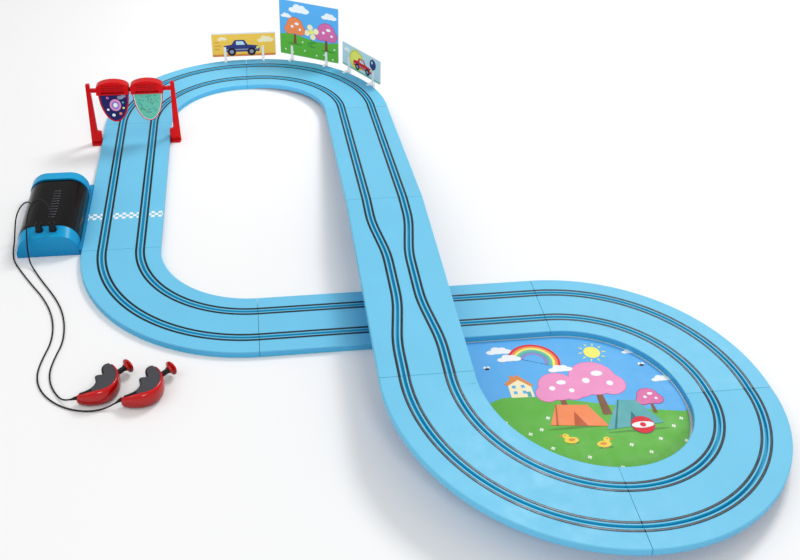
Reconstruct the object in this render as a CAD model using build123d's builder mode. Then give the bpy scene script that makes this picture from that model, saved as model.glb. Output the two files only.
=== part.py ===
from build123d import *
import os
from math import atan2, cos, degrees, pi, radians, sin, tan

os.makedirs("parts", exist_ok=True)

# A toy slot car track set: a figure-eight with a flyover bridge, millimetres, +Z up.
# The layout is drawn from its own corner: the west straight lies on x = 0, the
# crossing straight on y = 0, and every piece is moved at the end so that the origin
# is the centre of the set's footprint on the floor.

# ---- layout -------------------------------------------------------------------
R = 167.0  # centreline radius of every curve
STRAIGHT = 2 * R  # length of every straight
BRIDGE_H = 56.0  # height of the flyover above the ground-level track
LOOP_MID_H = 28.0  # height half way round the loop
RAMP_FOOT_H = 12.0  # height where the ramp starts
SEAM = 0.4  # open joint between two track pieces

# ---- track section ------------------------------------------------------------
WIDTH = 98.0
DECK_TOP = 8.0
DECK_T = 2.4
SKIRT_BOTTOM = 0.5
FED_SKIRT_BOTTOM = 2.5  # the connecting straight's, over the feed strips
SKIRT_T = 2.0
EDGE_ROUND = 1.2
LANE = 23.4  # lane groove to centreline
LANE_PINCH = 13.0  # the same at the waist of the bridge
BLOCK_W = 15.0  # thick strip under each lane
BLOCK_BOTTOM = 2.0
GROOVE_W = 3.4
GROOVE_DEPTH = 5.0
RAIL_OFFSET = 4.8  # rail to groove centre
RAIL_W = 2.5
RAIL_BED = DECK_TOP - 1.4
RAIL_TOP = DECK_TOP + 0.3
FOOT_X = 41.6
FOOT_W = 12.0
FOOT_H = 5.8
FOOT_L = 16.0
TONGUE_W = 12.0
TONGUE_REACH = 8.0
HALF_W = WIDTH / 2

# ---- power box ----------------------------------------------------------------
BOX_X = -90.0  # middle of the box
BOX_W = 76.0
BOX_Y = 171.0  # front face
CAP_Y = 187.0  # back of the front cap
BAY_Y = 297.0  # front of the back cap
BOX_END_Y = 315.0
FRONT_H = 29.0
CAP_H = 35.5
COVER_H = 36.0
BACK_H = 38.0
WALL = 2.0
BAY_WALL_H = 8.0
FLANGE_L = 155.0  # along the connecting straight
ARCH_R = 24.0
CELL_R = 13.1
CELL_L = 50.0
PLUG_X = (BOX_X - 8.0, BOX_X + 8.5)
PLUG_Y = 181.0
PLUG_Z = 32.0  # flat seat in the front cap
PLUG_W = 8.0
PLUG_T = 6.5
PLUG_L = 12.0
RELIEF_L = 5.0
PIN_R = 1.75
PIN_L = 9.0
SOCKET_R = 3.3
SOCKET_L = 9.7

# ---- cords --------------------------------------------------------------------
CORD_D = 1.8
CORD_Z = CORD_D / 2 + 0.05

# ---- controllers --------------------------------------------------------------
GRIP_T = 20.0
CONTROLLERS = {"left": (0.0, -90.0), "right": (46.4, -98.8)}
STEM_R = 3.0
STEM_FIT = 0.05
STEM_ANGLE = 45.0
STEM_MOUTH = (15.0, 21.0)
STEM_IN = 9.0
STEM_OUT = 9.0
SPRING_L = 6.0
TRAVEL = 7.0
KNOB_R = 8.2
DOME_R = 15.44
SPRING_R = 2.8
SPRING_WIRE = 0.7

# ---- gate ---------------------------------------------------------------------
GATE_Y = 458.0
GATE_T = 6.0
GATE_H = 97.0
POST_X = 65.0
GATE_FOOT = 8.0  # each foot reaches this far in front and behind
BEAM_Z = 87.0
SIGN_X = 24.0
SIGN_TOP = 106.0
SIGN_MID = 86.0
SIGN_LOW = 40.0
CAP_T = 13.0

# ---- billboards ---------------------------------------------------------------
BOARD_OFFSET = 219.0  # board's inner face from the top curve's centre
BOARD_T = 1.6
BOARDS = {  # angle round the top curve, width, height
    "billboard_west": (90.7, 108.0, 42.0),
    "billboard_middle": (60.8, 109.0, 98.0),
    "billboard_east": (31.5, 101.0, 41.0),
}
BOARD_Z = 12.5
CLIP_X = 32.0
CLIP_W = 4.0
CLIP_T = 1.4

# ---- bridge supports ----------------------------------------------------------
CRADLE_W = 84.0  # across the track, under the moulded feet

# ---- footprint ----------------------------------------------------------------
WEST = BOX_X - BOX_W / 2
EAST = 4 * R + HALF_W
SOUTH = -2 * R - HALF_W
tilt = radians(BOARDS["billboard_west"][0] - 90)
NORTH = 3 * R + (BOARD_OFFSET + BOARD_T + CLIP_T) * cos(tilt) + (CLIP_X + CLIP_W / 2) * sin(tilt)
CENTRE = Location((-(WEST + EAST) / 2, -(SOUTH + NORTH) / 2, 0))


def save(piece, name):
    """Move a finished piece to the set's own origin, label it and write it."""
    solid = piece.part.moved(CENTRE)
    solid.label = name
    export_step(solid, f"parts/{name}.step")


# ---- sections, X across and Y up ------------------------------------------------
def deck_section(with_lanes, bottom):
    with BuildSketch() as section:
        with Locations((0, DECK_TOP)):
            Rectangle(WIDTH, DECK_TOP - bottom, align=(Align.CENTER, Align.MAX))
        fillet(section.vertices().group_by(Axis.Y)[-1], EDGE_ROUND)
        with Locations((0, DECK_TOP - DECK_T)):
            Rectangle(WIDTH - 2 * SKIRT_T, DECK_TOP, align=(Align.CENTER, Align.MAX), mode=Mode.SUBTRACT)
        if with_lanes:
            for lane in (-LANE, LANE):
                add(lane_block(lane))
            for lane in (-LANE, LANE):
                add(lane_cuts(lane), mode=Mode.SUBTRACT)
    return section.sketch


def lane_block(lane):
    with BuildSketch(mode=Mode.PRIVATE) as block:
        with Locations((lane, BLOCK_BOTTOM)):
            Rectangle(BLOCK_W, DECK_TOP - DECK_T / 2 - BLOCK_BOTTOM, align=(Align.CENTER, Align.MIN))
    return block.sketch


def lane_cuts(lane):
    with BuildSketch(mode=Mode.PRIVATE) as cuts:
        with Locations((lane, DECK_TOP + 1)):
            Rectangle(GROOVE_W, GROOVE_DEPTH + 1, align=(Align.CENTER, Align.MAX))
        with Locations((lane - RAIL_OFFSET, RAIL_BED), (lane + RAIL_OFFSET, RAIL_BED)):
            Rectangle(RAIL_W, 3, align=(Align.CENTER, Align.MIN))
    return cuts.sketch


def rail_pair(lane):
    with BuildSketch(mode=Mode.PRIVATE) as pair:
        with Locations((lane - RAIL_OFFSET, RAIL_BED), (lane + RAIL_OFFSET, RAIL_BED)):
            Rectangle(RAIL_W, RAIL_TOP - RAIL_BED, align=(Align.CENTER, Align.MIN))
    return pair.sketch


DECK = deck_section(True, SKIRT_BOTTOM)
FED_DECK = deck_section(True, FED_SKIRT_BOTTOM)
PLAIN_DECK = deck_section(False, SKIRT_BOTTOM)
RAILS = rail_pair(-LANE) + rail_pair(LANE)


# ---- track pieces --------------------------------------------------------------
def end_plane(x, y, z, heading):
    """Upright plane across the track, its normal along the heading in degrees."""
    a = radians(heading)
    return Plane(origin=(x, y, z), x_dir=(-sin(a), cos(a), 0), z_dir=(cos(a), sin(a), 0))


def feet(plane, inward, height):
    """Two moulded feet at one end; inward is +1 at the start and -1 at the end."""
    level = Plane(origin=(plane.origin.X, plane.origin.Y, height), x_dir=plane.x_dir, z_dir=plane.z_dir)
    with Locations(level):
        with Locations((-FOOT_X, FOOT_H / 2, inward * FOOT_L / 2), (FOOT_X, FOOT_H / 2, inward * FOOT_L / 2)):
            Box(FOOT_W, FOOT_H, FOOT_L)


def tongue(plane, outward):
    """Joining tongue that reaches under the next piece's deck."""
    root = 10.0
    with Locations(plane):
        with Locations((0, DECK_TOP - DECK_T, -outward * root / 2)):
            Box(TONGUE_W, 3.2, root, align=(Align.CENTER, Align.MAX, Align.CENTER))
        with Locations((0, DECK_TOP - DECK_T - 1.2, outward * (TONGUE_REACH - root) / 2)):
            Box(TONGUE_W, 2.0, TONGUE_REACH + root, align=(Align.CENTER, Align.MAX, Align.CENTER))


def straight_ends(x, y, heading, low, rise):
    a = radians(heading)
    gap = SEAM / 2
    run = STRAIGHT - SEAM
    start = end_plane(x + gap * cos(a), y + gap * sin(a), low + rise * gap / STRAIGHT, heading)
    slope = Vector(run * cos(a), run * sin(a), rise * run / STRAIGHT)
    finish = end_plane(*(start.origin + slope), heading)
    return start, finish, slope


def straight(section, x, y, heading, low=0.0, rise=0.0, tongues=(False, True), bare=False):
    start, finish, slope = straight_ends(x, y, heading, low, rise)
    with BuildPart() as piece:
        with BuildSketch(start):
            add(section)
        extrude(amount=slope.length, dir=slope.normalized())
        if not bare:
            feet(start, 1, low)
            feet(finish, -1, low + rise)
            if tongues[0]:
                tongue(start, -1)
            if tongues[1]:
                tongue(finish, 1)
    return piece


def curve(section, centre, start_angle, low=0.0, rise=0.0, bare=False):
    """Quarter curve, clockwise from start_angle, climbing by rise."""
    gap = degrees(SEAM / 2 / R)
    arc = 90 - 2 * gap
    base = low + rise * gap / 90
    a = radians(start_angle - gap)
    start = end_plane(centre[0] + R * cos(a), centre[1] + R * sin(a), base, start_angle - gap - 90)
    b = radians(start_angle - 90 + gap)
    top = base + rise * arc / 90
    finish = end_plane(centre[0] + R * cos(b), centre[1] + R * sin(b), top, start_angle + gap - 180)
    hub = Plane(origin=(*centre, base), x_dir=(cos(a), sin(a), 0), z_dir=(0, 0, 1))
    climb = hub.location * Helix(4 * max(rise, 1), max(rise, 1) * arc / 90, R, lefthand=True)
    with BuildPart() as piece:
        with BuildSketch(start):
            add(section)
        if rise:
            sweep(path=climb, is_frenet=True)
        else:
            revolve(axis=Axis((*centre, 0), (0, 0, -1)), revolution_arc=arc)
        if not bare:
            feet(start, 1, low)
            feet(finish, -1, low + rise)
            tongue(finish, 1)
    return piece


STRAIGHTS = {
    "connecting_straight": dict(x=0, y=R, heading=90),
    "ramp_straight": dict(x=2 * R, y=3 * R, heading=-90, low=RAMP_FOOT_H, rise=BRIDGE_H - RAMP_FOOT_H),
    "crossing_straight": dict(x=R, y=0, heading=0, tongues=(True, True)),
}
CURVES = {
    "top_curve_west": dict(centre=(R, 3 * R), start_angle=180),
    "top_curve_east": dict(centre=(R, 3 * R), start_angle=90, low=0, rise=RAMP_FOOT_H),
    "loop_curve_high": dict(centre=(3 * R, -R), start_angle=-90, low=LOOP_MID_H, rise=BRIDGE_H - LOOP_MID_H),
    "loop_curve_middle": dict(centre=(3 * R, -R), start_angle=0, low=0, rise=LOOP_MID_H),
    "loop_curve_ground": dict(centre=(3 * R, -R), start_angle=90),
    "corner_curve": dict(centre=(R, R), start_angle=270),
}
FEED_Y = (230.0, 236.0, 248.0, 254.0)
FEED_START = 55.4  # the strips start this far west of the lane, inside the box
RAIL_X = (-LANE - RAIL_OFFSET, -LANE + RAIL_OFFSET, LANE - RAIL_OFFSET, LANE + RAIL_OFFSET)

for name, place in STRAIGHTS.items():
    if name != "connecting_straight":
        save(straight(DECK, **place), name)
    save(straight(RAILS, bare=True, **place), name.replace("_straight", "_rails"))
for name, place in CURVES.items():
    save(curve(DECK, **place), name)
    save(curve(RAILS, bare=True, **place), name + "_rails")

# The connecting straight has a slit under each rail for its feed strip.
with BuildPart() as connecting_straight:
    add(straight(FED_DECK, **STRAIGHTS["connecting_straight"]).part)
    with Locations(*[(x, y, RAIL_BED / 2) for x, y in zip(RAIL_X, FEED_Y)]):
        Box(1.6, 1.2, RAIL_BED + 1, mode=Mode.SUBTRACT)
save(connecting_straight, "connecting_straight")

# The bridge straight narrows its two lanes to a waist over the crossing.
WAIST = 45.0
SHOULDER = 115.0
SWAY_R = 250.0
bridge_start, bridge_finish, bridge_run = straight_ends(2 * R, R, -90, BRIDGE_H, 0)
lane_paths = []
for side in (-1, 1):
    half = R - SEAM / 2
    wide = 2 * R + side * LANE
    slim = 2 * R + side * LANE_PINCH
    stations = [(wide, half), (wide, SHOULDER), (slim, WAIST), (slim, -WAIST), (wide, -SHOULDER), (wide, -half)]
    with BuildLine() as lane_line:
        FilletPolyline(*[(x, y, BRIDGE_H) for x, y in stations], radius=SWAY_R)
    lane_paths.append((end_plane(wide, half, BRIDGE_H, -90), lane_line.wire()))

with BuildPart() as bridge_straight:
    with BuildSketch(bridge_start):
        add(PLAIN_DECK)
    extrude(amount=bridge_run.length)
    feet(bridge_start, 1, BRIDGE_H)
    feet(bridge_finish, -1, BRIDGE_H)
    for lane_start, lane_wire in lane_paths:
        with BuildSketch(lane_start):
            add(lane_block(0))
        sweep(path=lane_wire)
    for lane_start, lane_wire in lane_paths:
        with BuildSketch(lane_start):
            add(lane_cuts(0))
        sweep(path=lane_wire, mode=Mode.SUBTRACT)
save(bridge_straight, "bridge_straight")

with BuildPart() as bridge_rails:
    for lane_start, lane_wire in lane_paths:
        with BuildSketch(lane_start):
            add(rail_pair(0))
        sweep(path=lane_wire)
save(bridge_rails, "bridge_rails")

# Strips that feed the four rails from the power box, under the connecting straight.
with BuildPart() as feed_strips:
    for x, y in zip(RAIL_X, FEED_Y):
        with Locations((x + 0.6, y, 1.2)):
            Box(x + 0.6 + FEED_START, 1.0, 0.5, align=(Align.MAX, Align.CENTER, Align.MIN))
        with Locations((x, y, 1.2)):
            Box(1.2, 0.8, RAIL_BED - 1.2, align=(Align.CENTER, Align.CENTER, Align.MIN))
save(feed_strips, "feed_strips")


def support(name, x, y, heading, height):
    base_t = 3.0
    plate_t = 2.5
    leg_x = 12.0
    base = Plane(origin=(x, y, 0), x_dir=(-sin(radians(heading)), cos(radians(heading)), 0), z_dir=(0, 0, 1))
    side = Plane(origin=base.origin, x_dir=base.y_dir, z_dir=base.x_dir)
    with BuildPart() as stand:
        with BuildSketch(base):
            RectangleRounded(40, 42, 6)
        extrude(amount=base_t)
        with BuildSketch(base.offset(height - plate_t)):
            Rectangle(CRADLE_W, 26)
        extrude(amount=plate_t)
        for place in (-leg_x, leg_x):
            with BuildSketch(side.offset(place - 2)):
                with BuildLine():
                    Polyline((-18, base_t - 0.5), (18, base_t - 0.5), (10, height - 1), (-10, height - 1), close=True)
                make_face()
            extrude(amount=4)
        with BuildSketch(base.offset(base_t - 0.5)):
            Rectangle(2 * leg_x, 3)
        extrude(amount=height - base_t)
        for tip, root in ((-CRADLE_W / 2 + 1, -leg_x), (CRADLE_W / 2 - 1, leg_x)):
            with BuildSketch(Plane(origin=base.origin, x_dir=base.x_dir, z_dir=base.y_dir * -1).offset(-1.5)):
                with BuildLine():
                    Polyline((tip, height - 1), (root, height - 1), (root, max(height - 20, 4)), close=True)
                make_face()
            extrude(amount=3)
    save(stand, name)


support("support_ramp_top", 2 * R, R, -90, BRIDGE_H)
support("support_loop_top", 2 * R, -R, -90, BRIDGE_H)
support("support_loop_middle", 3 * R, -2 * R, 0, LOOP_MID_H)
support("support_ramp_foot", 2 * R, 3 * R, -90, RAMP_FOOT_H)


# ---- power box -----------------------------------------------------------------
def arch(width, height, round_r):
    """Arch of the box seen from the front, X across and Y up, standing on y = 0."""
    with BuildSketch(mode=Mode.PRIVATE) as outline:
        Rectangle(width, height, align=(Align.CENTER, Align.MIN))
        fillet(outline.vertices().group_by(Axis.Y)[-1], round_r)
    return outline.sketch


def box_plane(y, z=0.0):
    """Upright plane facing the front, with its X to the east."""
    return Plane(origin=(BOX_X, y, z), x_dir=(1, 0, 0), z_dir=(0, -1, 0))


with BuildPart() as power_base:
    with BuildSketch(Plane.XY):
        with Locations((BOX_X, BOX_Y)):
            Rectangle(BOX_W, BOX_END_Y - BOX_Y, align=(Align.CENTER, Align.MIN))
    extrude(amount=BAY_WALL_H)
    with BuildSketch(Plane.XY.offset(WALL)):
        with Locations((BOX_X, CAP_Y - WALL)):
            Rectangle(BOX_W - 2 * WALL, BAY_Y - CAP_Y + 2 * WALL, align=(Align.CENTER, Align.MIN))
    extrude(amount=BAY_WALL_H, mode=Mode.SUBTRACT)
    with BuildSketch(box_plane(BOX_Y)):
        add(arch(BOX_W - 2, FRONT_H, ARCH_R - 2))
    with BuildSketch(box_plane(CAP_Y)):
        add(arch(BOX_W, CAP_H, ARCH_R))
    loft()
    with BuildSketch(box_plane(BOX_Y + WALL, WALL)):
        add(arch(BOX_W - 2 - 2 * WALL, FRONT_H - 2 * WALL, ARCH_R - 2 - WALL))
    with BuildSketch(box_plane(CAP_Y - WALL, WALL)):
        add(arch(BOX_W - 2 * WALL, CAP_H - 2 * WALL, ARCH_R - WALL))
    loft(mode=Mode.SUBTRACT)
    with BuildSketch(box_plane(BOX_END_Y)):
        add(arch(BOX_W, BACK_H, ARCH_R))
    extrude(amount=BOX_END_Y - BAY_Y)
    rim = power_base.faces().sort_by(Axis.Y)[-1].edges().filter_by(Axis.Z, reverse=True).group_by(Axis.Z)[1:]
    fillet([edge for group in rim for edge in group], 3)
    with BuildSketch(box_plane(BOX_END_Y - WALL, WALL)):
        add(arch(BOX_W - 2 * WALL, BACK_H - 2 * WALL, ARCH_R - WALL))
    extrude(amount=BOX_END_Y - BAY_Y - 2 * WALL, mode=Mode.SUBTRACT)
    with BuildSketch(Plane.XY.offset(FED_SKIRT_BOTTOM)):
        with Locations((BOX_X + BOX_W / 2 - WALL, BOX_Y + 1)):
            Rectangle(-HALF_W - 0.2 - (BOX_X + BOX_W / 2 - WALL), FLANGE_L, align=(Align.MIN, Align.MIN))
    extrude(amount=DECK_TOP - FED_SKIRT_BOTTOM)
    with Locations((BOX_X - 31.5, 242, WALL), (BOX_X + 31.5, 242, WALL)):
        Cylinder(4.2, 2.5, align=(Align.CENTER, Align.CENTER, Align.MIN))
    with Locations(Location((BOX_X - 31.5, 242, 0), (180, 0, 0)), Location((BOX_X + 31.5, 242, 0), (180, 0, 0))):
        CounterBoreHole(1.6, 3.1, 2.4, depth=6)
    with Locations(*[(BOX_X + BOX_W / 2 - 1, y, 1.7) for y in FEED_Y]):
        Box(8, 1.6, 1.4, mode=Mode.SUBTRACT)
    with Locations(*[(x, PLUG_Y, PLUG_Z) for x in PLUG_X]):
        Box(PLUG_W + 2.6, PLUG_T + 2.0, 8, align=(Align.CENTER, Align.CENTER, Align.MAX))
        Box(PLUG_W + 0.6, PLUG_T + 0.6, 8, align=(Align.CENTER, Align.CENTER, Align.MIN), mode=Mode.SUBTRACT)
        Cylinder(SOCKET_R, 20, mode=Mode.SUBTRACT)
save(power_base, "power_base")

with BuildPart() as battery_cover:
    with BuildSketch(box_plane(BAY_Y - 0.3)):
        add(arch(BOX_W, COVER_H, ARCH_R))
        add(arch(BOX_W - 2 * WALL, COVER_H - WALL, ARCH_R - WALL), mode=Mode.SUBTRACT)
        with Locations((0, BAY_WALL_H + 0.1)):
            Rectangle(BOX_W + 2, BAY_WALL_H + 2, align=(Align.CENTER, Align.MAX), mode=Mode.SUBTRACT)
    extrude(amount=BAY_Y - CAP_Y - 0.6)
    with Locations((BOX_X - 31.5, 242, 4.7), (BOX_X + 31.5, 242, 4.7)):
        Cylinder(3.3, 19.3, align=(Align.CENTER, Align.CENTER, Align.MIN))
        Cylinder(1.5, 10, align=(Align.CENTER, Align.CENTER, Align.MIN), mode=Mode.SUBTRACT)
save(battery_cover, "battery_cover")

with BuildPart() as cover_screws:
    with Locations((BOX_X - 31.5, 242, 0.3), (BOX_X + 31.5, 242, 0.3)):
        Cylinder(2.8, 2.1, align=(Align.CENTER, Align.CENTER, Align.MIN))
        Cylinder(1.5, 13.0, align=(Align.CENTER, Align.CENTER, Align.MIN))
        Box(3.6, 0.8, 0.8, align=(Align.CENTER, Align.CENTER, Align.MIN), mode=Mode.SUBTRACT)
save(cover_screws, "cover_screws")

with BuildPart() as battery_cells:
    for x in (BOX_X - 13.6, BOX_X + 13.6):
        for y in (CAP_Y + 5, CAP_Y + 5.2 + CELL_L):
            with BuildSketch(Plane(origin=(x, y, WALL + 0.2 + CELL_R), x_dir=(1, 0, 0), z_dir=(0, 1, 0))):
                Circle(CELL_R)
            extrude(amount=CELL_L - 1.5)
            with BuildSketch(Plane(origin=(x, y, WALL + 0.2 + CELL_R), x_dir=(1, 0, 0), z_dir=(0, 1, 0))):
                Circle(3)
            extrude(amount=CELL_L)
save(battery_cells, "battery_cells")

with BuildPart() as battery_contacts:
    for x in (BOX_X - 13.6, BOX_X + 13.6):
        with Locations((x, CAP_Y + 2.0, WALL + 0.2 + CELL_R)):
            Box(14, 0.6, 16)
        with BuildSketch(Plane(origin=(x, CAP_Y + 2.3, WALL + 0.2 + CELL_R), x_dir=(1, 0, 0), z_dir=(0, 1, 0))):
            Circle(4.5)
            Circle(3.3, mode=Mode.SUBTRACT)
        extrude(amount=2.5)
    with Locations((BOX_X, BAY_Y - 1.4, WALL + 0.2 + CELL_R)):
        Box(40, 0.6, 16)
save(battery_contacts, "battery_contacts")

with BuildPart() as power_board:
    with BuildSketch(box_plane(BOX_Y + 5, WALL + 2)):
        Rectangle(46, 14, align=(Align.CENTER, Align.MIN))
    extrude(amount=1.6)
    with BuildSketch(box_plane(BOX_Y + 5, WALL + 5)):
        with Locations((-12, 4), (4, 4), (15, 4)):
            Rectangle(6, 6)
    extrude(amount=-2.4)
save(power_board, "power_board")

with BuildPart() as controller_sockets:
    with Locations(*[(x, PLUG_Y, PLUG_Z) for x in PLUG_X]):
        Cylinder(SOCKET_R, SOCKET_L, align=(Align.CENTER, Align.CENTER, Align.MAX))
        Cylinder(PIN_R + 0.05, 2 * SOCKET_L, mode=Mode.SUBTRACT)
save(controller_sockets, "controller_sockets")


def plug(side, x):
    """Plug with its pin in the socket and a tapered relief where the cord leaves."""
    with BuildPart() as body:
        with BuildSketch(Plane.XY.offset(PLUG_Z)):
            with Locations((x, PLUG_Y)):
                RectangleRounded(PLUG_W, PLUG_T, 2)
        extrude(amount=PLUG_L)
        fillet(body.faces().sort_by(Axis.Z)[-1].edges(), 1)
        with Locations((x, PLUG_Y, PLUG_Z + PLUG_L - 0.5)):
            Cone(2.4, CORD_D / 2 + 0.3, RELIEF_L + 0.5, align=(Align.CENTER, Align.CENTER, Align.MIN))
        with Locations((x, PLUG_Y, PLUG_Z)):
            Cylinder(PIN_R, PIN_L, align=(Align.CENTER, Align.CENTER, Align.MAX))
    save(body, f"plug_{side}")


# ---- controllers ---------------------------------------------------------------
# Outline of a controller lying on its side: the rounded back, then the finger side.
BACK = [
    (-26.0, -8.5), (-25.0, -18.0), (-9.0, -22.5), (8.0, -19.0),
    (19.0, -6.0), (18.5, 13.0), (14.0, 24.0), (7.5, 29.0),
]
BACK_RADII = [3.5, 6.5, 24, 22, 20, 22, 10, 4]
FINGERS = [
    (0.5, 27.5), (-2.0, 22.0), (-1.6, 16.5), (-0.2, 12.0),
    (-6.4, 9.2), (-7.0, 0.5), (-9.6, -6.0), (-15.5, -11.0),
]
FINGER_RADII = [3, 3, 3, 1.2, 2, 8, 8, 8]
# The seam between the red back and the grey grip, from the head to the tail.
SPLIT = [
    (2.5, 34.0), (6.0, 26.0), (13.4, 14.0), (15.8, 3.5),
    (11.5, -7.5), (2.5, -12.0), (-19.0, -13.2), (-19.5, -4.0),
]
SPLIT_RADII = [0, 12, 14, 14, 14, 16, 3, 0]
GLAND = (-28.0, -13.0, 8.0)
SCREW_SPOTS = [(9.0, -13.2), (-13.0, -17.6)]
SCREW_Z = 1.6  # underside of the sunk heads
SCREW_HEAD_R = 2.0
SCREW_R = 1.2
GLAND_AIM = {"left": Vector(0.86, -0.25, 0.44), "right": Vector(0.86, 0.25, 0.44)}


def controller(side, shift):
    """One hand controller lying on its side, its plunger pointing north-east."""
    ox, oy = shift
    a = radians(STEM_ANGLE)
    out = Vector(cos(a), sin(a), 0)
    mouth = Vector(ox + STEM_MOUTH[0], oy + STEM_MOUTH[1], GRIP_T / 2)
    bore = Plane(origin=mouth, x_dir=(0, 0, 1), z_dir=out)
    flat = Plane(origin=(ox, oy, 0))
    gland = Plane(origin=(ox + GLAND[0], oy + GLAND[1], GLAND[2]), z_dir=GLAND_AIM[side])
    cavity = SPRING_L + TRAVEL + 0.3

    with BuildSketch(flat, mode=Mode.PRIVATE) as whole:
        with BuildLine():
            FilletPolyline(*BACK, *FINGERS, radius=BACK_RADII + FINGER_RADII, close=True)
        make_face()
    with BuildSketch(flat, mode=Mode.PRIVATE) as grip_side:
        with BuildLine():
            FilletPolyline(*SPLIT, (-30, 34), radius=SPLIT_RADII + [0], close=True)
        make_face()

    with BuildPart() as shell:
        add(whole.sketch)
        extrude(amount=GRIP_T)
        add(grip_side.sketch)
        extrude(amount=GRIP_T, mode=Mode.SUBTRACT)
        with BuildSketch(gland):
            Circle(CORD_D)
        extrude(amount=6)
        with BuildSketch(bore.offset(-STEM_IN)):
            Circle(STEM_R + STEM_FIT)
        extrude(amount=2 * STEM_IN, mode=Mode.SUBTRACT)
        with Locations(*[(ox + x, oy + y, 0) for x, y in SCREW_SPOTS]):
            Cylinder(SCREW_HEAD_R + 0.2, 2.8, align=(Align.CENTER, Align.CENTER, Align.MIN), mode=Mode.SUBTRACT)
            Cylinder(SCREW_R, 10.8, align=(Align.CENTER, Align.CENTER, Align.MIN), mode=Mode.SUBTRACT)
    save(shell, f"controller_{side}_shell")

    with BuildPart() as grip:
        with BuildSketch(flat):
            add(whole.sketch_local)
            add(grip_side.sketch_local, mode=Mode.INTERSECT)
        extrude(amount=GRIP_T - 0.5)
        with BuildSketch(bore.offset(-STEM_IN)):
            Circle(STEM_R + STEM_FIT)
        extrude(amount=STEM_IN, mode=Mode.SUBTRACT)
        with BuildSketch(bore.offset(-STEM_IN - cavity)):
            Circle(SPRING_R + 0.4)
        extrude(amount=cavity, mode=Mode.SUBTRACT)
        with Locations((ox + 4.5, oy - 4.5, GRIP_T / 2)):
            Box(10.5, 4, 13, mode=Mode.SUBTRACT)
    save(grip, f"controller_{side}_grip")

    with BuildPart() as board:
        with Locations((ox + 4.5, oy - 4.5, GRIP_T / 2)):
            Box(10, 1.2, 12)
    save(board, f"controller_{side}_resistor_board")

    with BuildPart() as stem:
        with BuildSketch(bore.offset(-STEM_IN)):
            Circle(STEM_R)
        extrude(amount=STEM_IN + STEM_OUT)
        chamfer(stem.edges().sort_by(Axis.X)[0], 0.4)
    save(stem, f"controller_{side}_plunger")

    knob_base = bore.offset(STEM_OUT)
    profile = Plane(origin=knob_base.origin, x_dir=(0, 0, 1), z_dir=out.cross(Vector(0, 0, 1)) * -1)
    with BuildPart() as knob:
        with BuildSketch(profile):
            with BuildLine():
                Polyline((0, 8.2), (0, 0), (3.9, 0), (4.6, 2.6), (7.4, 4.0), (KNOB_R, 5.0), (7.6, 6.2))
                RadiusArc((7.6, 6.2), (0, 8.2), -DOME_R)
            make_face()
        revolve(axis=Axis(knob_base.origin, out))
    save(knob, f"controller_{side}_knob")

    turns = 4
    pitch = (SPRING_L - SPRING_WIRE) / turns
    coil_base = bore.offset(-STEM_IN - SPRING_L + SPRING_WIRE / 2)
    coil = coil_base.location * Helix(pitch, pitch * turns, SPRING_R - SPRING_WIRE / 2)
    with BuildPart() as spring:
        with BuildSketch(Plane(origin=coil @ 0, z_dir=coil % 0)):
            Circle(SPRING_WIRE / 2)
        sweep(path=coil, is_frenet=True)
    save(spring, f"controller_{side}_spring")


for side, shift in CONTROLLERS.items():
    controller(side, shift)

with BuildPart() as controller_screws:
    for ox, oy in CONTROLLERS.values():
        with Locations(*[(ox + x, oy + y, SCREW_Z) for x, y in SCREW_SPOTS]):
            Cylinder(SCREW_HEAD_R, 1.2, align=(Align.CENTER, Align.CENTER, Align.MIN))
            Cylinder(SCREW_R, 9.0, align=(Align.CENTER, Align.CENTER, Align.MIN))
save(controller_screws, "controller_screws")


# ---- cords ---------------------------------------------------------------------
def cord_end(side):
    """Where a cord meets its controller, and the point one short run before it."""
    ox, oy = CONTROLLERS[side]
    tip = Vector(ox + GLAND[0], oy + GLAND[1], GLAND[2])
    return [tip - GLAND_AIM[side].normalized() * 13, tip]


PLUG_TOP = PLUG_Z + PLUG_L + RELIEF_L
ROUTES = {
    "right": [
        (PLUG_X[0], PLUG_Y, PLUG_TOP), (PLUG_X[0], PLUG_Y, PLUG_TOP + 9), (-102, 190, 65.5),
        (-110, 203, 63.5), (-121, 211, 53), (-130, 213, 37), (-134, 210, 20), (-135.5, 202, 5),
        (-135.5, 184, CORD_Z), (-131, 163, CORD_Z), (-118, 139, CORD_Z), (-103, 113, CORD_Z), (-86, 86, CORD_Z),
        (-73, 57, CORD_Z), (-66, 28, CORD_Z), (-65, -1, CORD_Z), (-71, -28, CORD_Z),
        (-73.5, -53, CORD_Z), (-68, -76, CORD_Z), (-54, -96, CORD_Z), (-34, -111, CORD_Z),
        (-12, -117, CORD_Z), *cord_end("right"),
    ],
    "left": [
        (PLUG_X[1], PLUG_Y, PLUG_TOP), (PLUG_X[1], PLUG_Y, PLUG_TOP + 8.5), (-84, 190, 64),
        (-90, 201, 64.5), (-100, 208, 62), (-108, 207, 55.5), (-112, 199.5, 47),
        (-113.5, 191, 40.5), (-112.5, 181, 38), (-111.5, 171, 34.5), (-111.5, 164, 25.5),
        (-111.5, 160, 14.5), (-109.5, 153, 4), (-103, 141, CORD_Z), (-91, 118, CORD_Z),
        (-72, 85, CORD_Z), (-60, 57, CORD_Z), (-53.5, 28, CORD_Z), (-52, -2, CORD_Z),
        (-57.5, -26, CORD_Z), (-60.5, -50, CORD_Z), (-57, -70, CORD_Z), (-49, -87, CORD_Z),
        *cord_end("left"),
    ],
}


def bend_radii(points):
    """As large an arc at each corner as its two straight runs allow."""
    radii = []
    for before, corner, after in zip(points, points[1:], points[2:]):
        turn = (corner - before).get_angle(after - corner)
        shorter = min((corner - before).length, (after - corner).length)
        radii.append(0.45 * shorter / tan(radians(turn / 2)))
    return radii


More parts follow.
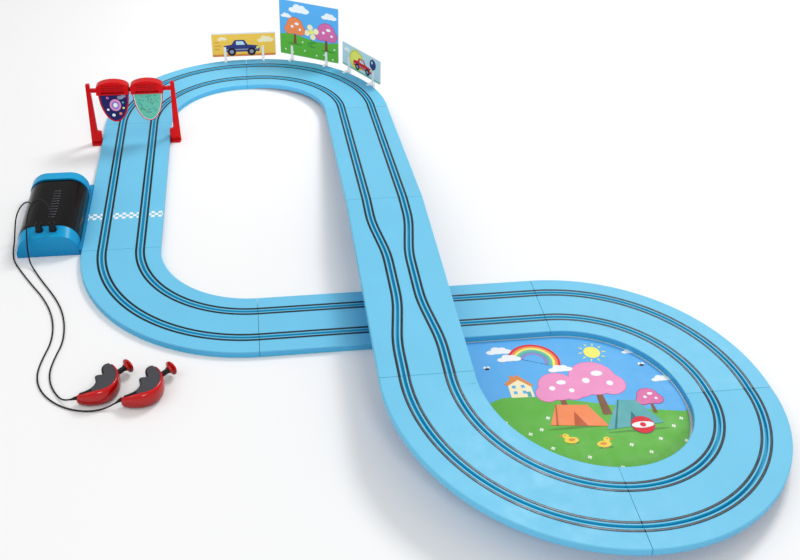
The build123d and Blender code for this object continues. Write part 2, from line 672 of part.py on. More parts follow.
for side, route in ROUTES.items():
    plug(side, route[0][0])
    points = [Vector(*point) for point in route]
    radii = bend_radii(points)
    with BuildLine() as line:
        FilletPolyline(*points, radius=radii)
    with BuildPart() as cord:
        with BuildSketch(Plane(origin=points[0], z_dir=points[1] - points[0])):
            Circle(CORD_D / 2)
        sweep(path=line.wire())
    save(cord, f"cord_{side}")
    length = line.wire().length
    print(side, "radii", [round(r, 1) for r in radii], "length", round(length, 1))
    print(side, "volume over section times length", round(cord.part.volume / (pi * CORD_D**2 / 4 * length), 4))


# ---- gate ----------------------------------------------------------------------
def gate_plane(y):
    return Plane(origin=(0, y, 0), x_dir=(1, 0, 0), z_dir=(0, -1, 0))


for name, side in (("gate_post_west", -1), ("gate_post_east", 1)):
    with BuildPart() as post:
        with BuildSketch(gate_plane(GATE_Y + GATE_T / 2)):
            with BuildLine():
                Polyline(
                    (side * POST_X, 0), (side * (POST_X - 2.5), GATE_H), (side * (POST_X - 8), GATE_H),
                    (side * (POST_X - 10), 21), (side * (HALF_W + 0.5), 19), (side * (HALF_W + 0.5), 1.9),
                    (side * (HALF_W - 4), 1.9), (side * (HALF_W - 4), 0), close=True,
                )
            make_face()
        extrude(amount=GATE_T)
        with BuildSketch(gate_plane(GATE_Y + GATE_FOOT)):
            with Locations((side * (HALF_W + 8), 0)):
                Rectangle(14, 3, align=(Align.CENTER, Align.MIN))
        extrude(amount=2 * GATE_FOOT)
    save(post, name)

with BuildPart() as gate_beam:
    with BuildSketch(gate_plane(GATE_Y + 2.5)):
        with Locations((0, BEAM_Z)):
            Rectangle(2 * (POST_X - 8.6), 5)
    extrude(amount=5)
save(gate_beam, "gate_beam")

with BuildPart() as sign_caps:
    for x in (-SIGN_X, SIGN_X):
        with BuildSketch(gate_plane(GATE_Y - 2.5)):
            with Locations((x, SIGN_MID)):
                Rectangle(46, 10, align=(Align.CENTER, Align.MIN))
            with Locations((x, SIGN_MID + 10)):
                Ellipse(23, SIGN_TOP - SIGN_MID - 10)
            with Locations((x, SIGN_MID)):
                Rectangle(60, 40, align=(Align.CENTER, Align.MAX), mode=Mode.SUBTRACT)
        extrude(amount=CAP_T)
        for z in (SIGN_MID + 8, SIGN_MID + 11, SIGN_MID + 14):
            with Locations((x, GATE_Y - 2.5 - CAP_T, z)):
                Box(30, 1.6, 1.2, mode=Mode.SUBTRACT)
        with Locations((x, GATE_Y - 2.5 - CAP_T, SIGN_MID + 3.6)):
            Box(32, 5, 3.6, mode=Mode.SUBTRACT)
save(sign_caps, "sign_caps")

with BuildPart() as sign_panels:
    for x in (-SIGN_X, SIGN_X):
        with BuildSketch(gate_plane(GATE_Y - 7)):
            with Locations((x, SIGN_MID)):
                Ellipse(21.5, SIGN_MID - SIGN_LOW)
                Rectangle(50, 60, align=(Align.CENTER, Align.MIN), mode=Mode.SUBTRACT)
        extrude(amount=2.5)
save(sign_panels, "sign_panels")


# ---- billboards ----------------------------------------------------------------
def rise_at(angle):
    """Height of the east top curve at an angle round its centre."""
    return RAMP_FOOT_H * max(90 - angle, 0) / 90


def board_plane(angle):
    """Origin at the curve's centre, X outwards, Y to the west along the board."""
    a = radians(angle)
    return Plane(origin=(R, 3 * R, 0), x_dir=(cos(a), sin(a), 0), z_dir=(0, 0, 1))


clip_profiles = []
for name, (angle, width, height) in BOARDS.items():
    bottom = BOARD_Z + rise_at(angle - 12)
    with BuildPart() as board:
        with BuildSketch(board_plane(angle).offset(bottom)):
            with Locations((BOARD_OFFSET + BOARD_T / 2, 0)):
                Rectangle(BOARD_T, width)
        extrude(amount=height)
        corners = board.edges().filter_by(lambda edge: edge.length < BOARD_T + 0.01)
        fillet(corners, 2)
    save(board, name)

with BuildPart() as board_clips:
    for angle, width, height in BOARDS.values():
        plane = board_plane(angle)
        bottom = BOARD_Z + rise_at(angle - 12)
        for across in (-CLIP_X, CLIP_X):
            reach = 13.0
            deck = DECK_TOP + rise_at(angle + degrees(atan2(across - CLIP_W, R + HALF_W))) + 0.1
            face = Plane(origin=plane.from_local_coords((0, across, 0)), x_dir=plane.x_dir, z_dir=plane.y_dir * -1)
            with BuildSketch(face.offset(-CLIP_W / 2)):
                with BuildLine():
                    Polyline(
                        (BOARD_OFFSET - reach, deck), (BOARD_OFFSET - reach, deck + 1.2),
                        (BOARD_OFFSET - CLIP_T, deck + 2.5), (BOARD_OFFSET - CLIP_T, bottom + 17),
                        (BOARD_OFFSET, bottom + 17), (BOARD_OFFSET, bottom),
                        (BOARD_OFFSET + BOARD_T, bottom), (BOARD_OFFSET + BOARD_T, bottom + 10),
                        (BOARD_OFFSET + BOARD_T + CLIP_T, bottom + 10), (BOARD_OFFSET + BOARD_T + CLIP_T, deck - 7),
                        (BOARD_OFFSET - CLIP_T, deck - 7), (BOARD_OFFSET - CLIP_T, deck), close=True,
                    )
                make_face()
            extrude(amount=CLIP_W)
save(board_clips, "board_clips")

# ---- printed floor sheet inside the loop ---------------------------------------
SHEET_T = 0.5
SHEET_R = R - HALF_W - 1.5
with BuildPart() as floor_sheet:
    with BuildSketch():
        with Locations((3 * R, -R)):
            Circle(SHEET_R)
        with Locations((2 * R + HALF_W + 1.5, -HALF_W - 1.5)):
            Rectangle(SHEET_R, SHEET_R, align=(Align.MIN, Align.MAX))
    extrude(amount=SHEET_T)
save(floor_sheet, "floor_sheet")
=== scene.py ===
import math
import random

import bmesh
import bpy
from mathutils import Matrix, Vector


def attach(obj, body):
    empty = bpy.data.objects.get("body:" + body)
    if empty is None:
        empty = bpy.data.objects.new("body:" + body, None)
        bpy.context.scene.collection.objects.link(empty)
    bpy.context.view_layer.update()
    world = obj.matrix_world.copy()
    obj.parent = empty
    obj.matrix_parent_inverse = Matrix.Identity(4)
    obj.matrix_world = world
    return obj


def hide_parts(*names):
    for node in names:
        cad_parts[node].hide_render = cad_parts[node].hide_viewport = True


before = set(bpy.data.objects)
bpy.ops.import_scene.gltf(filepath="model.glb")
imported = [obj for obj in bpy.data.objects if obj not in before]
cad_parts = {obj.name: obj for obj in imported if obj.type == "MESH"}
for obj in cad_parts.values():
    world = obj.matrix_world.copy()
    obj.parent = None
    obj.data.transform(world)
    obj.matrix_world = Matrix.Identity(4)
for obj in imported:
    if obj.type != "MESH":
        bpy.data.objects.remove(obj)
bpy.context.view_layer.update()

# Sizes are in the set's own layout, in millimetres: the west straight lies on x = 0
# and the crossing straight on y = 0. at() turns them into the frame's metres.
MM = 0.001
ORIGIN = Vector((294.5, 170.2, 0))
R = 167
BASE = "track_set"


def at(x, y, z=0.0):
    return (Vector((x, y, z)) - ORIGIN) * MM


def srgb(r, g, b):
    """Linear colour of an sRGB one given from 0 to 255."""
    return [((c / 255 + 0.055) / 1.055) ** 2.4 if c > 10 else c / 255 / 12.92 for c in (r, g, b)] + [1.0]


# ---- camera ---------------------------------------------------------------------
def make_camera():
    pitch, yaw, roll = 0.5866, 0.1608, 0.0348
    forward = Vector((math.sin(yaw) * math.cos(pitch), math.cos(yaw) * math.cos(pitch), -math.sin(pitch)))
    right = Vector((math.cos(yaw), -math.sin(yaw), 0))
    up = right.cross(forward)
    rolled_right = right * math.cos(roll) + up * math.sin(roll)
    rolled_up = up * math.cos(roll) - right * math.sin(roll)
    axes = Matrix((rolled_right, rolled_up, -forward)).transposed()
    data = bpy.data.cameras.new("camera")
    data.sensor_width = 36
    data.lens = 46.9
    data.shift_y = -0.075
    camera = bpy.data.objects.new("camera", data)
    camera.matrix_world = Matrix.Translation(at(174.78, -944.09, 776.93)) @ axes.to_4x4()
    bpy.context.scene.collection.objects.link(camera)
    bpy.context.scene.camera = camera


make_camera()


# ---- materials ------------------------------------------------------------------
GROOVE_SHADE_REACH = 5  # how far off a wall the painted shade reaches in a groove, and in a larger hollow
HOLLOW_SHADE_REACH = 70


def new_material(name, metallic=0.0, specular=0.5):
    material = bpy.data.materials.new(name)
    material.use_nodes = True
    nodes = material.node_tree.nodes
    shader = nodes["Principled BSDF"]
    shader.inputs["Metallic"].default_value = metallic
    shader.inputs["Specular IOR Level"].default_value = specular
    return material, nodes, material.node_tree.links, shader


def noise(nodes, links, scale, detail=3.0, stretch=(1, 1, 1)):
    """Noise over the object's own space; scale is in cycles a metre."""
    where = nodes.new("ShaderNodeTexCoord")
    mapping = nodes.new("ShaderNodeMapping")
    mapping.inputs["Scale"].default_value = stretch
    texture = nodes.new("ShaderNodeTexNoise")
    texture.inputs["Scale"].default_value = scale
    texture.inputs["Detail"].default_value = detail
    links.new(where.outputs["Object"], mapping.inputs["Vector"])
    links.new(mapping.outputs["Vector"], texture.inputs["Vector"])
    return texture.outputs["Fac"]


def ranged(nodes, links, value, low, high):
    span = nodes.new("ShaderNodeMapRange")
    span.inputs["From Min"].default_value = 0.3
    span.inputs["From Max"].default_value = 0.7
    span.inputs["To Min"].default_value = low
    span.inputs["To Max"].default_value = high
    links.new(value, span.inputs["Value"])
    return span.outputs["Result"]


def mixed(nodes, links, factor, a, b):
    """Mix of two colours, each a constant or a socket."""
    mix = nodes.new("ShaderNodeMix")
    mix.data_type = "RGBA"
    links.new(factor, mix.inputs["Factor"])
    for socket, colour in ((mix.inputs[6], a), (mix.inputs[7], b)):
        if isinstance(colour, bpy.types.NodeSocket):
            links.new(colour, socket)
        else:
            socket.default_value = colour
    return mix.outputs[2]


def shade(colour, k):
    return [min(1.0, c * k) for c in colour[:3]] + [1.0]


def finish_surface(nodes, links, shader, rough, grain, depth, edge):
    """Uneven roughness, fine moulded grain and softened edges."""
    wear = noise(nodes, links, 55, 4)
    links.new(ranged(nodes, links, wear, rough * 0.85, rough * 1.2), shader.inputs["Roughness"])
    bump = nodes.new("ShaderNodeBump")
    bump.inputs["Strength"].default_value = depth
    bump.inputs["Distance"].default_value = 0.0002
    links.new(noise(nodes, links, grain, 2), bump.inputs["Height"])
    if edge:
        bevel = nodes.new("ShaderNodeBevel")
        bevel.samples = 6
        bevel.inputs["Radius"].default_value = edge * MM
        links.new(bevel.outputs["Normal"], bump.inputs["Normal"])
    links.new(bump.outputs["Normal"], shader.inputs["Normal"])


def occlusion(nodes, reach):
    """How open a place is to its surroundings within reach, in millimetres."""
    hollow = nodes.new("ShaderNodeAmbientOcclusion")
    hollow.samples = 8
    hollow.inputs["Distance"].default_value = reach * MM
    return hollow.outputs["AO"]


def plastic(
    name, colour, rough=0.4, grain=1500, depth=0.1, groove_shade=None, hollow_shade=None, edge=0.5, mottle=0.05,
    specular=0.4,
):
    """Moulded plastic, a little uneven in tone, with painted shade: one colour mixed into its grooves and one
    into its wider hollows under and between parts.
    """
    material, nodes, links, shader = new_material(name, specular=specular)
    blotches = noise(nodes, links, 14, 5)
    tone = mixed(nodes, links, blotches, shade(colour, 1 - mottle), shade(colour, 1 + mottle))
    # painted shade: occlusion mixes these colours in where little light reaches
    if hollow_shade:
        tone = mixed(nodes, links, occlusion(nodes, HOLLOW_SHADE_REACH), hollow_shade, tone)
    if groove_shade:
        tone = mixed(nodes, links, occlusion(nodes, GROOVE_SHADE_REACH), groove_shade, tone)
    links.new(tone, shader.inputs["Base Color"])
    finish_surface(nodes, links, shader, rough, grain, depth, edge)
    return material


def metal(name, colour, rough=0.3, stretch=(1, 1, 1), edge=0):
    material, nodes, links, shader = new_material(name, metallic=1.0)
    tone = mixed(nodes, links, noise(nodes, links, 90, 5, stretch), shade(colour, 0.6), shade(colour, 1.25))
    links.new(tone, shader.inputs["Base Color"])
    finish_surface(nodes, links, shader, rough, 1800, 0.02, edge)
    return material


# Painted shade: each plastic's groove and hollow colours stand in for the shade in its grooves and under and
# between parts.
TRACK = plastic(
    "track_blue_plastic", srgb(112, 200, 236), 0.42,
    groove_shade=srgb(0, 205, 230), hollow_shade=srgb(0, 138, 205), edge=0.6, specular=0.25,
)
BOX = plastic(
    "box_blue_plastic", srgb(0, 162, 216), 0.26,
    groove_shade=srgb(0, 130, 195), hollow_shade=srgb(0, 96, 156), edge=1.5, specular=0.25,
)
SUPPORT = plastic("support_blue_plastic", srgb(20, 140, 205), 0.45)
COVER = plastic("cover_black_plastic", srgb(8, 7, 10), 0.17, edge=0.8, specular=0.12)
# The ridges are the cover's own black plastic; their lighter grey is a painted highlight, their higher gloss
# is real.
RIDGE_PAINTED_HIGHLIGHT = plastic("ridge_painted_highlight_plastic", srgb(44, 44, 52), 0.22, edge=0.3, specular=0.5)
# The red plastics carry painted shade in their grooves and hollows as well.
RED = plastic("gloss_red_plastic", srgb(214, 4, 8), 0.3, groove_shade=srgb(120, 0, 4), edge=0.7, specular=0.18)
SHELL_RED = plastic(
    "shell_red_plastic", srgb(206, 2, 4), 0.16,
    groove_shade=srgb(120, 0, 4), hollow_shade=srgb(96, 0, 4), edge=0.4, specular=0.45,
)
GRIP = plastic("grip_grey_plastic", srgb(72, 71, 77), 0.6, grain=900, depth=0.5, edge=0.4, specular=0.2)
BLACK = plastic("satin_black_plastic", srgb(16, 16, 18), 0.38, edge=0.3, specular=0.25)
CORD = plastic("cord_black_rubber", srgb(16, 16, 18), 0.5, grain=1200, depth=0.2, edge=0, specular=0.25)
CLIP = plastic("clip_white_plastic", srgb(238, 240, 242), 0.35, edge=0.4)
CARD = plastic("board_white_plastic", srgb(236, 238, 240), 0.4, edge=0.3)
CIRCUIT = plastic("circuit_laminate", srgb(22, 92, 52), 0.35, edge=0)
RAIL = metal("rail_steel", srgb(66, 68, 72), 0.32, edge=1.1)
STEEL = metal("zinc_steel", srgb(190, 190, 192), 0.3)
BRASS = metal("contact_brass", srgb(200, 165, 90), 0.3)
CELL = metal("cell_sleeve", srgb(170, 172, 176), 0.35, (1, 0.2, 1))


def paint(material, *names):
    for name in names:
        for material_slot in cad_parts[name].material_slots:
            material_slot.material = material


def paint_nodes():
    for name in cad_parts:
        if name.endswith("_rails"):
            paint(RAIL, name)
        elif "_curve" in name or name in ("ramp_straight", "bridge_straight", "crossing_straight"):
            paint(TRACK, name)
        elif name.startswith("support"):
            paint(SUPPORT, name)
        elif name.startswith("billboard"):
            paint(CARD, name)
        elif name.endswith("_screws") or name.endswith("_spring"):
            paint(STEEL, name)
    paint(TRACK, "connecting_straight")
    paint(INKS["sky"], "floor_sheet")
    paint(BOX, "power_base")
    paint(COVER, "battery_cover")
    paint(RED, "gate_post_west", "gate_post_east", "gate_beam", "sign_caps", "sign_panels")
    paint(CLIP, "board_clips")
    paint(CIRCUIT, "power_board")
    paint(BRASS, "feed_strips", "battery_contacts")
    paint(CELL, "battery_cells")
    paint(BLACK, "controller_sockets")
    for side in CONTROLLERS:
        paint(RED, f"controller_{side}_shell", f"controller_{side}_knob")
        paint(GRIP, f"controller_{side}_grip")
        paint(BLACK, f"controller_{side}_plunger", f"plug_{side}")
        paint(CIRCUIT, f"controller_{side}_resistor_board")
        paint(CORD, f"cord_{side}")


# ---- cords ----------------------------------------------------------------------
LOW = 0.95  # height of a cord's centreline where it lies on the floor
ROUTES = {
    "right": [
        (-98, 181, 49), (-98, 181, 58), (-102, 190, 65.5), (-110, 203, 63.5), (-121, 211, 53),
        (-130, 213, 37), (-134, 210, 20), (-135.5, 202, 5), (-135.5, 184, LOW), (-131, 163, LOW),
        (-118, 139, LOW), (-103, 113, LOW), (-86, 86, LOW), (-73, 57, LOW), (-66, 28, LOW),
        (-65, -1, LOW), (-71, -28, LOW), (-73.5, -53, LOW), (-68, -76, LOW), (-54, -96, LOW),
        (-34, -111, LOW), (-12, -117, LOW), (7.2, -115.1, 2.3), (18.4, -111.8, 8),
    ],
    "left": [
        (-81.5, 181, 49), (-81.5, 181, 57.5), (-84, 190, 64), (-90, 201, 64.5), (-100, 208, 62),
        (-108, 207, 55.5), (-112, 199.5, 47), (-113.5, 191, 40.5), (-112.5, 181, 38), (-111.5, 171, 34.5),
        (-111.5, 164, 25.5), (-111.5, 160, 14.5), (-109.5, 153, 4), (-103, 141, LOW), (-91, 118, LOW),
        (-72, 85, LOW), (-60, 57, LOW), (-53.5, 28, LOW), (-52, -2, LOW), (-57.5, -26, LOW),
        (-60.5, -50, LOW), (-57, -70, LOW), (-49, -87, LOW), (-39.2, -99.7, 2.3), (-28, -103, 8),
    ],
}
CORD_D = 1.8


def make_cord(side):
    curve = bpy.data.curves.new(f"cord_{side}_line", "CURVE")
    curve.dimensions = "3D"
    spline = curve.splines.new("NURBS")
    route = [at(*point) for point in ROUTES[side]]
    spline.points.add(len(route) - 1)
    for point, place in zip(spline.points, route):
        point.co = (*place, 1)
    spline.order_u = 3
    spline.use_endpoint_u = True
    spline.resolution_u = 12
    curve.bevel_depth = CORD_D / 2 * MM
    curve.bevel_resolution = 4
    curve.use_fill_caps = True
    curve.materials.append(CORD)
    piece = bpy.data.objects.new(f"cord_{side}_flex", curve)
    bpy.context.scene.collection.objects.link(piece)
    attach(piece, BASE)
    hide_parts(f"cord_{side}")


for cord_side in ROUTES:
    make_cord(cord_side)


# ---- hand controllers --------------------------------------------------------------
# In millimetres about each controller's own middle, lying on its side.
CONTROLLERS = {"left": (0.0, -90.0), "right": (46.4, -98.8)}
THICK = 20
# Each line runs from the tail to the head.
SEAM_LINE = [
    (-21.6, -10.4), (-22.0, -13.0), (-17.0, -14.8), (-9.0, -15.6), (1.5, -14.4),
    (10.5, -9.5), (15.4, 1.5), (15.0, 12.5), (11.0, 21.5), (5.6, 27.0),
]
BACK_LINE = [
    (-24.6, -9.4), (-26.2, -16.0), (-13.0, -21.2), (0.0, -21.0), (11.5, -15.6),
    (19.2, -2.0), (18.6, 13.0), (13.4, 24.0), (6.0, 28.8),
]
FINGER_LINE = [
    (-21.6, -10.6), (-14.0, -10.8), (-9.2, -8.8), (-6.4, -4.6), (-5.4, 0.0),
    (-5.4, 4.0), (-7.6, 7.4), (-6.4, 9.8), (-2.6, 10.0), (0.4, 9.6),
    (0.8, 11.8), (-1.0, 15.5), (-1.6, 19.5), (-0.9, 24.2), (2.2, 27.0), (5.4, 27.6),
]


def crown(x):
    """Height of a controller's top, which falls towards the tail."""
    down = min(1, max(0, (-2 - x) / 20))
    return THICK - 5.5 * down**2


def between(a, b, t):
    return tuple(p + (q - p) * t for p, q in zip(a, b))


def softened(points, rounds=3):
    """Corner cutting on an open line; its two ends stay."""
    for _ in range(rounds):
        cut = [points[0]]
        for a, b in zip(points, points[1:]):
            cut += [between(a, b, 0.25), between(a, b, 0.75)]
        points = cut + [points[-1]]
    return points


def resampled(points, count):
    """The same line as count points at even spacing."""
    lengths = [0.0]
    for a, b in zip(points, points[1:]):
        lengths.append(lengths[-1] + math.dist(a, b))
    out, j = [], 0
    for i in range(count):
        goal = lengths[-1] * i / (count - 1)
        while j < len(lengths) - 2 and lengths[j + 1] < goal:
            j += 1
        t = (goal - lengths[j]) / max(1e-9, lengths[j + 1] - lengths[j])
        out.append(between(points[j], points[j + 1], t))
    return out


def add_piece(name, bm, materials, body, smooth=True):
    bmesh.ops.recalc_face_normals(bm, faces=bm.faces)
    for face in bm.faces:
        face.smooth = smooth
    mesh = bpy.data.meshes.new(name)
    bm.to_mesh(mesh)
    bm.free()
    for material in materials:
        mesh.materials.append(material)
    piece = bpy.data.objects.new(name, mesh)
    bpy.context.scene.collection.objects.link(piece)
    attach(piece, body)
    return piece


def bridge_rings(bm, rings):
    """Skin a row of equal rings and close both ends."""
    n = len(rings[0])
    for a, b in zip(rings, rings[1:]):
        for i in range(n):
            j = (i + 1) % n
            bm.faces.new((a[i], a[j], b[j], b[i]))
    bm.faces.new(rings[0][::-1])
    bm.faces.new(rings[-1])


def end_rounding(t):
    """Share of its full section that the shell keeps at t along it, less at both ends."""
    from_end = min(t, 1 - t) / 0.07
    full = math.sqrt(1 - (1 - from_end) ** 2) if from_end < 1 else 1
    return max(full, 0.12)


def make_shell(side, ox, oy):
    """Rounded red band from the tail round the back to the head."""
    count, arc, wall = 64, 20, 4
    inner = resampled(softened(SEAM_LINE), count)
    outer = resampled(softened(BACK_LINE), count)
    bm = bmesh.new()
    rings = []
    for k, (seam, back) in enumerate(zip(inner, outer)):
        keep = end_rounding(k / (count - 1))
        middle = between(seam, back, 0.5)
        half = crown(middle[0]) / 2
        ring = []
        for i in range(arc + 1):
            a = math.radians(-90 + 180 * i / arc)
            across = max(0.0, math.cos(a)) ** 0.8
            rise = math.copysign(abs(math.sin(a)) ** 0.9, math.sin(a))
            x, y = between(middle, between(seam, back, across), keep)
            ring.append((x, y, half * (1 + rise * keep)))
        foot, edge = ring[0], ring[arc]
        ring += [(edge[0], edge[1], edge[2] + (foot[2] - edge[2]) * i / wall) for i in range(1, wall)]
        rings.append([bm.verts.new(at(ox + x, oy + y, z)) for x, y, z in ring])
    bridge_rings(bm, rings)
    piece = add_piece(f"controller_{side}_back", bm, [SHELL_RED], BASE)
    smooth = piece.modifiers.new("smooth", "SUBSURF")
    smooth.levels = smooth.render_levels = 1
    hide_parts(f"controller_{side}_shell")


def make_grip(side, ox, oy):
    """Grey grip with finger notches, its edge and walls in black."""
    count, foot, sunk = 96, 0.6, 0.7
    seam = resampled(softened(SEAM_LINE[1:]), count)
    fingers = resampled(softened(FINGER_LINE, 2), count)
    bm = bmesh.new()
    rings = []
    for (sx, sy), (fx, fy) in zip(seam, fingers):
        width = math.dist((sx, sy), (fx, fy))
        top = crown(fx) - sunk
        ring = [(fx, fy, foot)]
        for inset, drop in ((0, 2.0), (0.25, 1.15), (0.8, 0.5), (1.5, 0.14), (2.2, 0)):
            t = min(inset / width, 0.3 * inset)
            ring.append((fx + (sx - fx) * t, fy + (sy - fy) * t, top - drop))
        ring += [(sx, sy, crown(sx) - sunk), (sx, sy, foot)]
        rings.append([bm.verts.new(at(ox + x, oy + y, z)) for x, y, z in ring])
    bridge_rings(bm, rings)
    piece = add_piece(f"controller_{side}_inlay", bm, [GRIP, BLACK], BASE)
    for face in piece.data.polygons:
        face.use_smooth = face.normal.z < 0.985
        face.material_index = int(face.use_smooth)
    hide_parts(f"controller_{side}_grip")


def lathe(name, origin, axis, profile, material, body, turns=48):
    """Solid of revolution; the profile is along the axis and out from it, in millimetres."""
    side = axis.orthogonal().normalized()
    other = axis.cross(side)
    angles = [2 * math.pi * i / turns for i in range(turns)]
    spokes = [side * math.cos(a) + other * math.sin(a) for a in angles]
    bm = bmesh.new()
    rings = [
        [bm.verts.new(origin + (axis * along + spoke * max(radius, 0.05)) * MM) for spoke in spokes]
        for along, radius in profile
    ]
    bridge_rings(bm, rings)
    return add_piece(name, bm, [material], body)


STEM_MOUTH = (15, 21)  # where the plunger leaves the head
KNOB_OUT = 9  # from there to the knob
KNOB_PROFILE = [
    (-0.2, 0), (-0.2, 3.5), (0, 3.9), (1.2, 4.1), (2.4, 4.6), (3.2, 5.7), (3.8, 7.1), (4.2, 7.8), (4.8, 8.2),
    (5.4, 8.1), (5.9, 7.7), (6.5, 6.8), (7.1, 5.4), (7.6, 3.8), (8.0, 2.0), (8.2, 0.8), (8.2, 0),
]
CORD_END = (-28, -13, 8)
GLAND_PROFILE = [
    (-3.6, 0), (-3.6, 1.1), (-2.9, 1.25), (-2.7, 1.05), (-2.1, 1.05), (-1.9, 1.35), (-1.2, 1.4),
    (-1.0, 1.15), (-0.4, 1.15), (-0.2, 1.6), (1.0, 1.9), (5.0, 2.0), (5.0, 0),
]


def make_knob(side, ox, oy):
    out = Vector((1, 1, 0)).normalized()
    base = at(ox + STEM_MOUTH[0], oy + STEM_MOUTH[1], THICK / 2) + out * KNOB_OUT * MM
    name = f"controller_{side}_button"
    piece = lathe(name, base, out, KNOB_PROFILE, SHELL_RED, f"plunger_{side}")
    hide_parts(f"controller_{side}_knob")


def make_gland(side, ox, oy):
    """Black strain relief where the cord goes into the tail."""
    aim = Vector((0.86, -0.25 if side == "left" else 0.25, 0.44)).normalized()
    tip = at(ox + CORD_END[0], oy + CORD_END[1], CORD_END[2])
    lathe(f"controller_{side}_gland", tip, aim, GLAND_PROFILE, BLACK, BASE, turns=32)


for controller_side, (middle_x, middle_y) in CONTROLLERS.items():
    make_shell(controller_side, middle_x, middle_y)
    make_grip(controller_side, middle_x, middle_y)
    make_knob(controller_side, middle_x, middle_y)
    make_gland(controller_side, middle_x, middle_y)


# ---- battery cover ----------------------------------------------------------------
def cover_ridges():
    """A row of low grip ridges moulded along the crown of the battery cover."""
    count, pitch, first_y, middle_x, crown_z = 11, 6.2, 206, -86, 36
    bm = bmesh.new()
    for k in range(count):
        y = first_y + k * pitch
        half = 5.4 - 1.2 * abs(k - count // 2) / (count // 2)
        rings = []
        for dx, lift in ((-half, 0.02), (-half + 0.5, 0.95), (half - 0.5, 0.95), (half, 0.02)):
            ring = [(-1.5, 0), (-1.0, lift * 0.75), (0, lift), (1.0, lift * 0.75), (1.5, 0), (0, -0.3)]
            rings.append([bm.verts.new(at(middle_x + dx, y + dy, crown_z + dz)) for dy, dz in ring])
        bridge_rings(bm, rings)
    # painted highlight: the ridges are lighter than the cover they are moulded with
    add_piece("cover_ridges", bm, [RIDGE_PAINTED_HIGHLIGHT], BASE)


cover_ridges()


# ---- printed art ----------------------------------------------------------------
# Every print is flat shapes, in millimetres on its own plane, stacked by layer.
LAYER = 0.06
STAGGER = 0.005


def ink(name, r, g, b):
    return plastic(name, srgb(r, g, b), 0.45, grain=2500, depth=0.05, edge=0, mottle=0.03, specular=0.2)


INKS = {
    "sky": ink("ink_sky", 92, 178, 240),
    "grass": ink("ink_grass", 96, 182, 62),
    "sun": ink("ink_sun", 246, 240, 110),
    "white": ink("ink_white", 246, 248, 250),
    "cream": ink("ink_cream", 252, 240, 196),
    "roof": ink("ink_roof", 226, 140, 70),
    "pink": ink("ink_pink", 240, 150, 200),
    "rose": ink("ink_rose", 222, 110, 170),
    "orange": ink("ink_orange", 246, 140, 84),
    "teal": ink("ink_teal", 88, 172, 176),
    "red": ink("ink_red", 222, 34, 48),
    "trunk": ink("ink_trunk", 128, 84, 56),
    "duck": ink("ink_yellow", 246, 214, 60),
    "leaf": ink("ink_leaf", 70, 158, 62),
    "navy": ink("ink_navy", 34, 34, 96),
    "yellow": ink("ink_board_yellow", 255, 204, 84),
    "car": ink("ink_car_blue", 56, 60, 122),
    "dark": ink("ink_dark", 26, 26, 34),
    "grey": ink("ink_grey", 150, 152, 172),
    "pale": ink("ink_pale_blue", 196, 226, 232),
    "lime": ink("ink_lime", 216, 222, 88),
    "mint": ink("ink_mint", 108, 196, 170),
    "aqua": ink("ink_aqua", 70, 160, 158),
    "shadow": ink("ink_shade", 78, 146, 58),
    "violet": ink("ink_violet", 150, 130, 206),
    "plum": ink("ink_plum", 150, 62, 116),
    "rust": ink("ink_rust", 190, 88, 46),
    "deep": ink("ink_deep_teal", 40, 112, 124),
}
OUTLINES = {"pink": "rose", "rose": "plum", "orange": "rust", "teal": "deep"}


def ellipse(x, y, rx, ry=None, start=0, turn=360, n=40):
    ry = rx if ry is None else ry
    steps = max(6, int(n * turn / 360))
    count = steps if turn == 360 else steps + 1
    angles = [math.radians(start + turn * i / steps) for i in range(count)]
    return [(x + rx * math.cos(a), y + ry * math.sin(a)) for a in angles]


def rect(x, y, w, h):
    return [(x, y), (x + w, y), (x + w, y + h), (x, y + h)]


def turned(points, angle, x=0, y=0, k=1):
    c, s = math.cos(math.radians(angle)) * k, math.sin(math.radians(angle)) * k
    return [(x + px * c - py * s, y + px * s + py * c) for px, py in points]


def cloud(x, y, k, layer, colour="white"):
    parts = ((0, 0, 10, 5), (-9, -1.5, 7, 4), (9, -1, 7.5, 4.2), (-3, 3.5, 6, 4.5), (5, 3, 5.5, 4))
    return [(ellipse(x + k * a, y + k * b, k * c, k * d), colour, layer) for a, b, c, d in parts]


def tree(x, y, k, tone, layer):
    """Round blossom tree with an outlined crown; k is half its height."""
    return [
        (turned([(-0.12, -1), (0.12, -1), (0.07, 0), (-0.07, 0)], 0, x, y, k), "trunk", layer),
    ] + [
        (ellipse(x + a * k, y + b * k, r * k + rim), shade_of, layer + step)
        for step, rim, shade_of in ((1, 0.6, OUTLINES[tone]), (2, 0, tone))
        for a, b, r in ((0, 0.35, 0.62), (-0.42, 0.05, 0.36), (0.42, 0.08, 0.38))
    ] + [
        (ellipse(x + 0.16 * k, y + 0.52 * k, 0.16 * k, 0.1 * k), "white", layer + 3),
        (ellipse(x - 0.2 * k, y + 0.28 * k, 0.1 * k), "white", layer + 3),
        (ellipse(x + 0.4 * k, y + 0.12 * k, 0.09 * k), "white", layer + 3),
    ]


def flower(x, y, k, layer, petals="white"):
    leaves = [(ellipse(x + k * math.cos(a), y + k * math.sin(a), 0.62 * k, n=10), petals, layer)
              for a in (0.3, 1.87, 3.44, 5.0)]
    return leaves + [(ellipse(x, y, 0.5 * k, n=10), "sun", layer + 1)]


